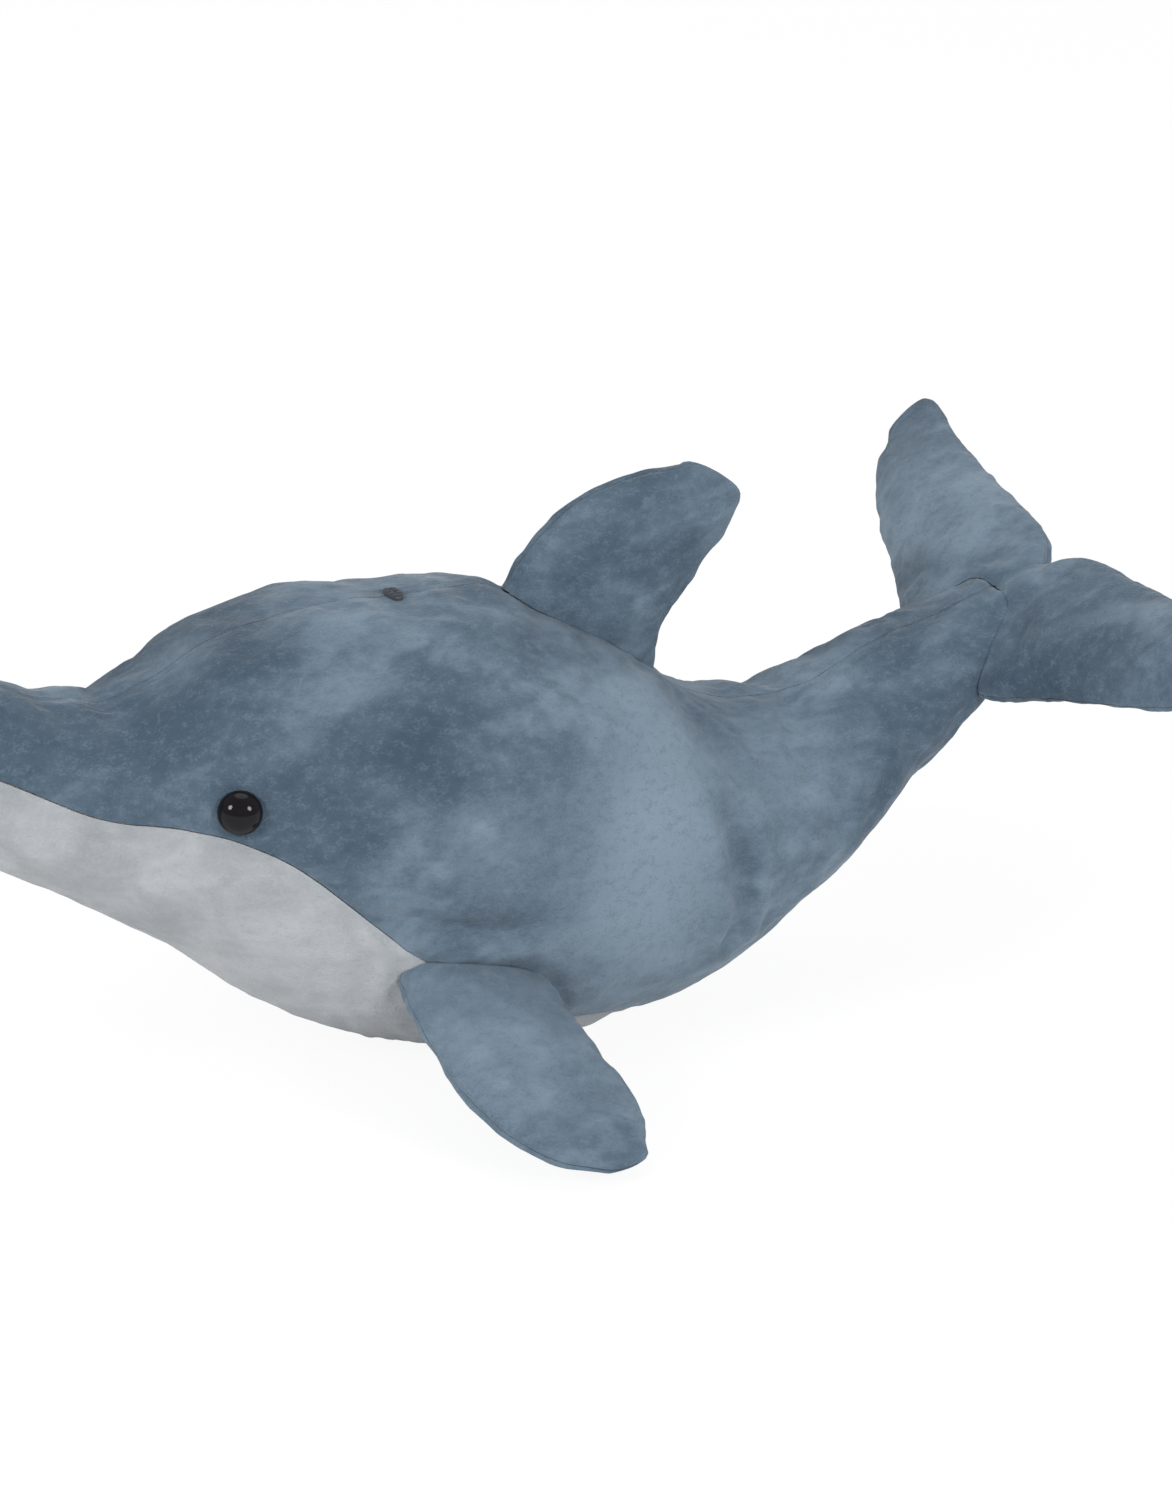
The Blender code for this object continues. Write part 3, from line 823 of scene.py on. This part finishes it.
def bladeForm(place, shape, spans, turns, face, inset=0):
    # half of a lens section at each distance out
    origin, out, chord, normal, bow = place
    middle, halfChord, halfThick = bladeSizes(shape, spans)
    middle = middle + bow * np.sin(math.pi * np.clip(spans / shape["length"], 0, 1))
    along = middle + np.maximum(halfChord - inset, 0.05) * np.cos(turns)
    rise = face * (body["seamGap"] / 2 + np.maximum(halfThick - inset, 0.05) * np.sin(turns))
    return origin + out * spans[..., None] + chord * along[..., None] + normal * rise[..., None]


def rowPlaces(rows, shares):
    # place among the rows for a distance out in hundredths
    fine = np.linspace(0, len(rows) - 1, 400)
    return np.interp(shares, between(rows, fine)[:, 0], fine)


def smoothBodyTree():
    places = np.linspace(-body["tailReach"], lastPlace + body["tailReach"], 190)
    points = skinPoints(*np.meshgrid(places, np.linspace(0, 360, 161), indexing="ij"))
    faces = sheetFaces(numbered(points))
    return BVHTree.FromPolygons([Vector(p) for p in points.reshape(-1, 3)], faces.tolist())


def clearOf(tree, point):
    # signed distance from the body's skin
    near, normal, index, away = tree.find_nearest(Vector(point))
    return math.copysign(away, (Vector(point) - near).dot(normal))


bodyTree = smoothBodyTree()
if clearOf(bodyTree, (0, 0, 400)) < 0:
    raise SystemExit("body tree faces inward")


def rootSpans(place, shape, turns, face, gap, inset=0):
    # how far out each line of the blade leaves the body, found by halving
    starts = []
    for turn in turns:
        low, high = shape["outline"][0][0] * shape["length"] / 100, shape["length"] * 0.6
        for _ in range(14):
            middle = (low + high) / 2
            point = bladeForm(place, shape, np.array(middle), np.array(turn), face, inset)
            if clearOf(bodyTree, point) < gap:
                low = middle
            else:
                high = middle
        starts.append(high)
    return np.array(starts)


def tipRows(rowsOut):
    return max(4, rowsOut // 8)


def bladeSpans(shape, starts, rowsOut, top):
    # distances out from the body, even up to the knee and closing in round the tip
    knee = shape["outline"][-2][0] * shape["length"] / 100
    tip = tipRows(rowsOut)
    run = np.linspace(0, 1, rowsOut - tip + 1)[:-1, None]
    bend = np.sin(np.radians(np.linspace(0, 88.5, tip)))[:, None]
    return np.concatenate([starts + (knee - starts) * run, knee + (top - knee) * bend + 0 * starts])


def bladeNormals(place, face, plain):
    normals = unit(np.cross(np.gradient(plain, axis=0), np.gradient(plain, axis=1)))
    middle = len(plain) // 2, plain.shape[1] // 2
    return -normals if normals[middle] @ place[3] * face < 0 else normals


def bladeSheet(name, place, shape, face, columns, rowsOut, inset=0):
    # sheet of points from the body out to the tip, plain where it is inset
    turns = np.linspace(0, math.pi, columns)
    gap = blade["innerGap"] if inset else blade["outerGap"]
    starts = np.interp(turns, rootTurns, rootSpans(place, shape, rootTurns, face, gap, inset))
    top = shape["length"] + blade["tipReach"] - inset * 0.8  # the inner sheet ends before the tip
    spans = bladeSpans(shape, starts, rowsOut, top)
    turnGrid = np.ones((rowsOut, 1)) * turns
    points = bladeForm(place, shape, spans, turnGrid, face, inset)
    if inset:
        return points, starts
    normals = bladeNormals(place, face, points)
    middle, halfChord, halfThick = bladeSizes(shape, spans)
    ease = np.minimum(turnGrid, math.pi - turnGrid)
    fromTip = np.maximum(top - spans, 0)
    fromEdge = np.minimum(halfThick * np.sin(ease) + halfChord * (1 - np.cos(ease)), fromTip)
    plump = np.clip(halfThick / blade["plumpFrom"], 0.1, 1)
    fade = np.clip(fromTip / blade["tipFade"], 0.2, 1)
    height = blade["lump"] * lumpNoise(points / blade["lumpSize"] + 3)
    pull = puckerNoise(points / blade["puckerSize"] + face * 5)
    height += blade["pucker"] * pull * bell(fromEdge, blade["puckerReach"])
    height *= fade
    height -= blade["edgeDepth"] * bell(fromEdge, blade["edgeWidth"])
    height -= blade["ridgeDepth"] * bell(fromEdge - blade["ridgeAt"], blade["ridgeWidth"])
    height -= blade["rootPinch"] * bell(spans - starts, blade["rootReach"]) * np.sin(turnGrid)
    rowsThere, columnsThere = bladeCells(shape)
    knees = [[0, rows - tipRows(rows), rows - 1] for rows in (rowsOut, rowsThere)]
    rowsAt = np.interp(np.arange(rowsOut), *knees)
    height += puffed(name, rowsAt, np.linspace(0, columnsThere - 1, columns))
    height = pressedIn(height) + pileHeight(points) * plump * fade
    return points + normals * height[..., None], starts


def bladeCells(shape):
    return max(12, int(shape["length"] / blade["cell"])), max(10, int(blade["around"] / blade["cell"]))


def readyBlade(name, place, shape, face):
    rowsOut, columns = bladeCells(shape)
    turns = np.linspace(0, math.pi, columns)
    starts = rootSpans(place, shape, turns, face, blade["outerGap"])
    spans = bladeSpans(shape, starts, rowsOut, shape["length"] + blade["tipReach"])
    turnGrid = np.ones((rowsOut, 1)) * turns
    form = bladeForm(place, shape, spans, turnGrid, face)
    rim = np.zeros((rowsOut, columns), bool)
    rim[0], rim[-1], rim[:, 0], rim[:, -1] = True, True, True, True
    free = np.sin(turnGrid) * np.clip((spans - starts) / swelling["softEdge"], 0, 1)
    free *= np.clip((shape["length"] - spans) / swelling["softEdge"], 0, 1)
    readyCloth(name, form, bladeNormals(place, face, form), free, rim)


def outward(outer, inner):
    # columns run so that the outside faces out
    i, j = outer.shape[0] // 3, outer.shape[1] // 2
    normal = np.cross(outer[i, j + 1] - outer[i, j], outer[i + 1, j] - outer[i, j])
    inside = inner[inner.shape[0] // 3, inner.shape[1] // 2]
    if normal @ (outer[i, j] - inside) < 0:
        return outer[:, ::-1], inner[:, ::-1]
    return outer, inner


def makeBlade(node, place, shape, face, columns, rowsOut):
    coarse = blade["innerColumns"], blade["innerRows"], body["skin"]
    outer, inner = [bladeSheet(node, place, shape, face, *size)[0] for size in ((columns, rowsOut), coarse)]
    grid(node + "_plush", *outward(outer, inner), bluePile, "blue_plush", blade["fill"], node)


# each sewn blade: name, place, shape, face and the columns and rows of its fine sheet
blades = []
for side, word in ((1, "left"), (-1, "right")):
    blades.append(("dorsal_fin_" + word + "_face", finFrame(), dorsalFin, side, 66, 64))
    blades.append((word + "_flipper_upper_face", flipperFrame(side), flipper, 1, 66, 72))
    blades.append((word + "_flipper_lower_face", flipperFrame(side), flipper, -1, 66, 72))
flukeFaces = (("tail_flukes_upper_face", 1, 62, 104), ("tail_flukes_lower_face", -1, 62, 104))
flukeLobes = (("_left", flukeFrame(1)), ("_right", flukeFrame(-1)))


def makeFlukeFace(node, face, columns, rowsOut):
    # both lobes in one sheet, open where the tail comes through
    sheets, starts = [], []
    for size in ((columns, rowsOut), (columns, flukes["innerRows"], body["skin"])):
        lobes = [bladeSheet(node + word, place, flukes, face, *size) for word, place in flukeLobes]
        sheets.append(np.concatenate([lobes[0][0][::-1], lobes[1][0]]))
        starts += [lobes[0][1], lobes[1][1]]
    hidden = np.max(starts, axis=0) > 0.5
    outer, inner = outward(*sheets)
    if not np.array_equal(outer[0, 0], sheets[0][0, 0]):
        hidden = hidden[::-1]
    opening = hidden, rowsOut, flukes["innerRows"]
    grid(node + "_plush", outer, inner, bluePile, "blue_plush", blade["fill"], node, opening)


def findRoots():
    # lines along which the blades are sewn to the body
    sewn = [row[1:4] for row in blades]
    sewn += [(place, flukes, row[1]) for word, place in flukeLobes for row in flukeFaces]
    for place, shape, face in sewn:
        starts = rootSpans(place, shape, rootTurns, face, blade["outerGap"])
        line = bladeForm(place, shape, starts, rootTurns, face)
        roots.append(line[starts > 0.4] if shape is flukes else line)


def buildBlades():
    for row in blades:
        makeBlade(*row)
    for row in flukeFaces:
        makeFlukeFace(*row)
    print("fin, flippers and flukes sewn")


def panelPlaces(step, first, last):
    # places whose rings lie about a step apart along the flank
    fine = np.linspace(first, last, 1500)
    line = bodyForm(fine, np.full(fine.shape, 80.0))
    run = np.concatenate([[0], np.cumsum(np.linalg.norm(np.diff(line, axis=0), axis=1))])
    return np.interp(np.linspace(0, run[-1], int(run[-1] / step)), run, fine)


def panelGrid(panel, step, columns, inset):
    # places and angles of a panel's points, half a seam's gap off its edges
    start, end, first, last = panel[1:5]
    places = panelPlaces(step, first, last)
    high, wide = bodyRing(places, inset)[2:]
    edges = start(places), end(places)
    gaps = [np.degrees(body["seamGap"] / 2 / np.maximum(radiusAt(a, high, wide), 0.5)) for a in edges]
    begin, finish = edges[0] + gaps[0], edges[1] - gaps[1]
    angles = begin[:, None] + (finish - begin)[:, None] * np.linspace(0, 1, columns)
    return places[:, None] * np.ones((1, columns)), angles


def nearestOf(points, spots):
    # how far each point is from the nearest spot
    return np.min([np.linalg.norm(points - spot, axis=-1) for spot in spots], axis=0)


def readyPanel(panel):
    columns = panel[5] * body["step"] / swelling["cell"]
    places, angles = panelGrid(panel, swelling["cell"], int(columns), 0)
    form = skinPoints(places, angles)
    rim = np.zeros(places.shape, bool)
    rim[:2], rim[-2:], rim[:, 0], rim[:, -1] = True, True, True, True
    fromFloor = form[..., 2]
    fromEye = nearestOf(form, eyeCentres) - eyes["radius"]
    fromRoot = nearestOf(form, np.concatenate(roots))
    held = rim | (fromFloor < swelling["floorHeld"]) | (fromEye < swelling["eyeHeld"])
    held |= fromRoot < swelling["rootHeld"]
    sides = [np.linalg.norm(form - form[:, [k]], axis=-1) for k in (0, -1)]
    ends = [np.linalg.norm(form - form[k].mean(0), axis=-1) for k in (0, -1)]
    nearest = np.min([*sides, *ends, fromEye, fromRoot, fromFloor * 2], axis=0)
    free = np.clip(nearest / swelling["softEdge"], 0, 1)
    readyCloth(panel[0], form, bodyNormal(places, angles), free, held)


def buildPanel(panel):
    node, columns, material, slot = panel[0], *panel[5:]
    places, angles = panelGrid(panel, body["step"], columns, 0)
    swell = 0
    if node in swollen:
        rows, across = swollen[node].shape
        swell = puffed(node, np.linspace(0, rows - 1, len(places)), np.linspace(0, across - 1, columns))
    outer = skinPoints(places, angles, True, swell)
    inner = bodyForm(*panelGrid(panel, body["innerStep"], body["innerColumns"], body["skin"]), body["skin"])
    inner = restOnGround(inner, body["skin"])
    grid(node + "_plush", *outward(outer, inner), material, slot, body["fill"], node)


def alongBack(places):
    return 0 * places


nose, tail = -body["endReach"], lastPlace + body["tailReach"]
# each panel: node, the angles of its two edges, first and last place, columns and material
panels = (
    ("left_side_panel", alongBack, seamAngle, nose, tail, 118, bluePile, "blue_plush"),
    ("right_side_panel", lambda p: -seamAngle(p), alongBack, nose, tail, 118, bluePile, "blue_plush"),
    ("belly_panel", seamAngle, lambda p: 360 - seamAngle(p), nose, body["bellyEnd"], 104,
     whitePile, "white_plush"),
)


def buildBody():
    for panel in panels:
        buildPanel(panel)
    print("body panels sewn")


def swellAll():
    for row in blades:
        readyBlade(*row[:4])
    for row in flukeFaces:
        for word, place in flukeLobes:
            readyBlade(row[0] + word, place, flukes, row[1])
    for panel in panels:
        readyPanel(panel)
    blowUp()
    print("covers blown up by the filling")


def turned(name, profile, steps, material, node, place):
    # profile of radius and height turned about the line out of the cheek
    turns = np.linspace(0, 2 * math.pi, steps, endpoint=False)
    rings, faces = [], []
    for radius, height in profile:
        spots = turns if radius else [0]
        rings.append([(radius * math.cos(t), radius * math.sin(t), height) for t in spots])
    starts = np.cumsum([0] + [len(ring) for ring in rings]).tolist()
    for k in range(len(rings) - 1):
        a, b = starts[k], starts[k + 1]
        for i in range(steps):
            j = (i + 1) % steps
            if len(rings[k]) == 1:
                faces.append((a, b + i, b + j))
            elif len(rings[k + 1]) == 1:
                faces.append((a + i, b, a + j))
            else:
                faces.append((a + i, b + i, b + j, a + j))
    mesh = bpy.data.meshes.new(name)
    mesh.from_pydata([tuple(0.001 * c for c in point) for ring in rings for point in ring], [], faces)
    mesh.transform(place)
    mesh.shade_smooth()
    mesh.set_sharp_from_angle(angle=math.radians(50))
    return finishPiece(name, mesh, material, node)


def buildEyes():
    radius, sink, stem = eyes["radius"], eyes["sink"], eyes["stemRadius"]
    foot = -sink - eyes["stemLength"]
    rise = [math.radians(90 * i / 18) for i in range(19)]
    profile = [(radius * math.sin(t), eyes["height"] * math.cos(t) - sink) for t in rise]
    profile[0] = (0, eyes["height"] - sink)
    profile += [(radius - 0.25, -sink - 0.2), (radius - 0.7, -sink - 0.3)]  # rounded rim
    profile += [(stem + 0.4, -sink - 0.3), (stem, -sink - 0.8)]
    profile += [(stem, foot + 0.5), (stem - 0.4, foot), (0, foot)]
    for side, word in ((1, "left"), (-1, "right")):
        place, angle = np.array(eyes["place"]), np.array(float(side * eyes["angle"]))
        seat = Matrix.Translation(Vector(bodyForm(place, angle) * 0.001))
        turn = Vector(bodyNormal(place, angle)).to_track_quat("Z", "Y").to_matrix().to_4x4()
        turned(word + "_safety_eye", profile, 48, eyeGloss, word + "_eye", seat @ turn)
    print("eyes set")


def buildBlowhole():
    # a pad of satin stitches across the dip in the back seam
    across = np.linspace(-1, 1, 41)
    u, v = np.meshgrid(across, across, indexing="ij")
    halfLength, halfWidth = blowhole["length"] / 2, blowhole["width"] / 2
    x = u * np.sqrt(1 - v**2 / 2) * halfLength
    y = v * np.sqrt(1 - u**2 / 2) * halfWidth
    edge = np.sqrt(np.clip(1 - (x / halfLength) ** 2 - (y / halfWidth) ** 2, 0, 1))
    thread = blowhole["thread"] * np.cos(y * 2 * math.pi / blowhole["threadPitch"])
    slit = blowhole["slit"] * bell(x, blowhole["slitWidth"])
    rise = (blowhole["height"] + thread - slit) * edge
    bow = blowhole["bow"] * (y / halfWidth) ** 2
    way = unit(bodyPoint(blowhole["place"] - 0.05, 0) - blowCentre)
    up = np.cross(way, leftward)
    level = blowCentre - up * blowhole["sunk"] + way * x[..., None] + leftward * y[..., None]
    top = level + up * (rise - bow)[..., None]
    low = level - up * (blowhole["under"] + bow)[..., None]
    outer, inner = outward(top, low)
    grid("blowhole_stitches", outer, inner[::5, ::5], darkThread, "dark_thread", None, "blowhole")


def dressHidden():
    for name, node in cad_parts.items():
        if name.endswith(("filling", "washer")):
            for slot in node.material_slots:
                slot.material = fibreFill if name.endswith("filling") else washerPlastic


findRoots()
swellAll()
buildBlades()
buildBody()
buildEyes()
buildBlowhole()
dressHidden()

# Floor, lamps and camera

studio = {
    "floorSize": 30, "floorDrop": 0.0003, "floorWhite": 0.88, "floorGlow": 1.04,
    "world": 0.46,
    # turn from the camera and height in degrees, distance, size and power
    "lamps": {
        "left softbox": (-46, 31, 1.5, 0.42, 7.5),
        "right softbox": (44, 31, 1.5, 0.42, 6.5),
        "top panel": (180, 78, 1.7, 1.4, 6),
    },
    "azimuth": -25.68, "elevation": 24.36, "roll": 2.54, "distance": 1.6927,
    "aim": (0, 0, 0.06), "lens": 148.7, "shift": (0.0567, 0.0378),
}


def viewWay(azimuth, elevation):
    a, e = math.radians(azimuth), math.radians(elevation)
    return Vector((math.sin(a) * math.cos(e), -math.cos(a) * math.cos(e), math.sin(e)))


def setCamera():
    back = viewWay(studio["azimuth"], studio["elevation"])
    a, roll = math.radians(studio["azimuth"]), math.radians(studio["roll"])
    right = Vector((math.cos(a), math.sin(a), 0))
    up = back.cross(right)
    across = right * math.cos(roll) + up * math.sin(roll)
    upright = up * math.cos(roll) - right * math.sin(roll)
    camera = addObject("camera", bpy.data.cameras.new("camera"))
    turn = Matrix((across, upright, back)).transposed().to_4x4()
    camera.matrix_world = Matrix.Translation(Vector(studio["aim"]) + back * studio["distance"]) @ turn
    camera.data.lens = studio["lens"]
    camera.data.shift_x, camera.data.shift_y = studio["shift"]
    bpy.context.scene.camera = camera


def addLamp(name, turn, height, distance, size, power):
    lamp = addObject(name, bpy.data.lights.new(name, "AREA"))
    way = viewWay(studio["azimuth"] + turn, height)
    lamp.matrix_world = Matrix.Translation(way * distance) @ way.to_track_quat("Z", "Y").to_matrix().to_4x4()
    lamp.data.shape = "DISK"
    lamp.data.size = size
    lamp.data.energy = power


def makeStage():
    mesh = bpy.data.meshes.new("floor")
    half = studio["floorSize"] / 2
    corners = [(-half, -half), (half, -half), (half, half), (-half, half)]
    mesh.from_pydata([(x, y, -studio["floorDrop"]) for x, y in corners], [], [(0, 1, 2, 3)])
    floor = addObject("floor", mesh)
    paint = Paint("pale floor")
    rays = direct = paint.node("ShaderNodeLightPath", out="Is Camera Ray")
    for other in ("Is Glossy Ray", "Is Transmission Ray"):
        direct = paint.node("ShaderNodeMath", {"operation": "MAXIMUM"}, {0: direct, 1: rays.out(other)})
    mottle = paint.noise(220, 2)
    colour = paint.mix(mottle, (0.92, 0.92, 0.92), (0.94, 0.94, 0.94))
    paint.feed(Base_Color=colour, Roughness=0.9, Specular_IOR_Level=0.0)
    glow = {"Color": (1, 1, 1, 1), "Strength": studio["floorGlow"]}
    paint.showMix(direct * studio["floorWhite"], paint.node("ShaderNodeEmission", None, glow))
    mesh.materials.append(paint.material)


def setWorld():
    world = bpy.data.worlds.new("studio")
    bpy.context.scene.world = world
    paint = Paint("studio", world)
    paint.feed(Color=(1, 1, 1), Strength=studio["world"])
    white = paint.node("ShaderNodeBackground", None, {"Color": (1, 1, 1, 1), "Strength": 1.0})
    paint.showMix(paint.node("ShaderNodeLightPath", out="Is Camera Ray"), white)


makeStage()
setWorld()
setCamera()
for name, lamp in studio["lamps"].items():
    addLamp(name, *lamp)
bpy.context.scene.view_settings.view_transform = "Standard"
print("stage, lamps and camera set")
